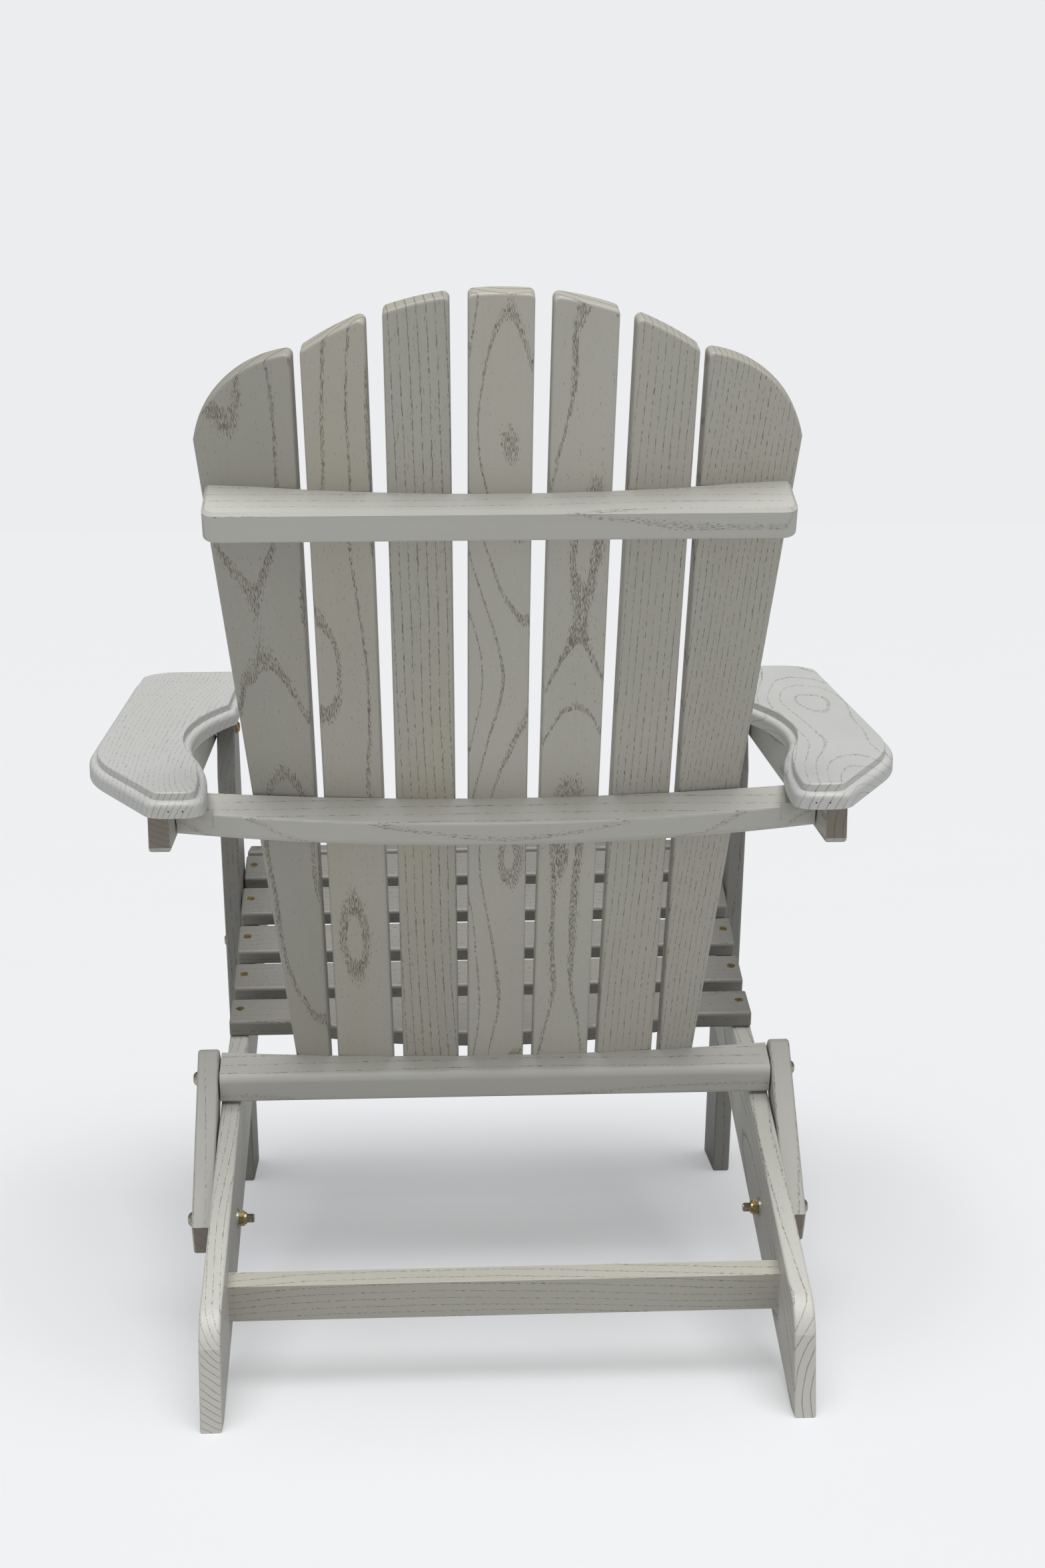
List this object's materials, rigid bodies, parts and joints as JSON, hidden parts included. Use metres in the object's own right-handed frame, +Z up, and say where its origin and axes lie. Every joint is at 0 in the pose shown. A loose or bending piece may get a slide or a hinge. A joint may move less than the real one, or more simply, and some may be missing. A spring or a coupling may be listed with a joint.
{
  "type": "folding adirondack chair",
  "caption": "Wooden folding lounge chair with a reclined fan-shaped slatted back, wide flat arms, a sloping slatted seat and bolted pivots that let it fold flat.",
  "frame": {"origin": "centre of the bounding box on the floor, with the chair open for sitting", "axes": "+Z up; the sitter faces -Y; +X is on the sitter's left"},
  "size_m": [0.743, 0.8007, 0.9402],
  "materials": {
    "grey_washed_wood": "satin grey wash over open grain",
    "grey_washed_slat_wood": "satin grey wash over open grain",
    "grey_washed_arm_wood": "satin grey wash over open grain",
    "yellow_zinc": "yellow zinc plate, satin",
    "silver_zinc": "silver zinc plate, satin"
  },
  "bodies": {
    "seat_frame": {"stringer_left": "grey_washed_wood", "stringer_right": "grey_washed_wood", "rear_stretcher": "grey_washed_wood", "seat_slat_1": "grey_washed_slat_wood", "seat_slat_2": "grey_washed_slat_wood", "seat_slat_3": "grey_washed_slat_wood", "seat_slat_4": "grey_washed_slat_wood", "seat_slat_5": "grey_washed_slat_wood", "seat_slat_6": "grey_washed_slat_wood", "seat_slat_screws": "yellow_zinc", "stretcher_screws": "yellow_zinc", "link_pivot_bolts": "yellow_zinc", "leg_pivot_bolts": "yellow_zinc", "seat_lock_nuts": "yellow_zinc", "seat_washers": "silver_zinc"},
    "left_front_leg": {"front_leg_left": "grey_washed_wood", "leg_arm_bolt_left": "yellow_zinc", "leg_arm_washer_left": "silver_zinc"},
    "right_front_leg": {"front_leg_right": "grey_washed_wood", "leg_arm_bolt_right": "yellow_zinc", "leg_arm_washer_right": "silver_zinc"},
    "left_rear_link": {"rear_link_left": "grey_washed_wood"},
    "right_rear_link": {"rear_link_right": "grey_washed_wood"},
    "back": {"lower_back_rail": "grey_washed_wood", "middle_back_rail": "grey_washed_wood", "upper_back_rail": "grey_washed_wood", "back_slat_1": "grey_washed_slat_wood", "back_slat_2": "grey_washed_slat_wood", "back_slat_3": "grey_washed_slat_wood", "back_slat_4": "grey_washed_slat_wood", "back_slat_5": "grey_washed_slat_wood", "back_slat_6": "grey_washed_slat_wood", "back_slat_7": "grey_washed_slat_wood", "back_slat_screws": "yellow_zinc", "back_pivot_bolts": "yellow_zinc", "back_threaded_inserts": "yellow_zinc", "back_washers": "silver_zinc"},
    "left_arm": {"arm_board_left": "grey_washed_arm_wood", "arm_bar_left": "grey_washed_wood", "arm_screws_left": "yellow_zinc", "arm_nails_left": "silver_zinc"},
    "right_arm": {"arm_board_right": "grey_washed_arm_wood", "arm_bar_right": "grey_washed_wood", "arm_screws_right": "yellow_zinc", "arm_nails_right": "silver_zinc"}
  },
  "joints": [
    {"name": "left_leg_fold", "type": "hinge", "parent": "seat_frame", "child": "left_front_leg", "pos_m": [0.2709, -0.2766, 0.288], "axis": [1, 0, 0], "range_deg": [0, 88]},
    {"name": "right_leg_fold", "type": "hinge", "parent": "seat_frame", "child": "right_front_leg", "pos_m": [-0.2709, -0.2766, 0.288], "axis": [1, 0, 0], "range_deg": [0, 88.01]},
    {"name": "left_link_fold", "type": "hinge", "parent": "seat_frame", "child": "left_rear_link", "pos_m": [0.2716, 0.1684, 0.118], "axis": [1, 0, 0], "range_deg": [-22.81, 0]},
    {"name": "right_link_fold", "type": "hinge", "parent": "seat_frame", "child": "right_rear_link", "pos_m": [-0.2716, 0.1684, 0.118], "axis": [1, 0, 0], "range_deg": [-22.81, 0]},
    {"name": "back_fold", "type": "hinge", "parent": "left_rear_link", "child": "back", "pos_m": [0.2716, 0.0854, 0.2285], "axis": [1, 0, 0], "range_deg": [0, 102.81]},
    {"name": "left_arm_fold", "type": "hinge", "parent": "back", "child": "left_arm", "pos_m": [0.2926, 0.2024, 0.498], "axis": [1, 0, 0], "range_deg": [-68.91, 0]},
    {"name": "right_arm_fold", "type": "hinge", "parent": "back", "child": "right_arm", "pos_m": [-0.2926, 0.2024, 0.498], "axis": [1, 0, 0], "range_deg": [-68.91, 0]}
  ],
  "couplings": [
    {"joint": "right_leg_fold", "follows": "left_leg_fold", "ratio": 1},
    {"joint": "left_link_fold", "follows": "left_leg_fold", "ratio": -0.25909},
    {"joint": "right_link_fold", "follows": "left_leg_fold", "ratio": -0.25909},
    {"joint": "back_fold", "follows": "left_leg_fold", "ratio": 1.1682},
    {"joint": "left_arm_fold", "follows": "left_leg_fold", "ratio": -0.78295},
    {"joint": "right_arm_fold", "follows": "left_leg_fold", "ratio": -0.78295}
  ]
}
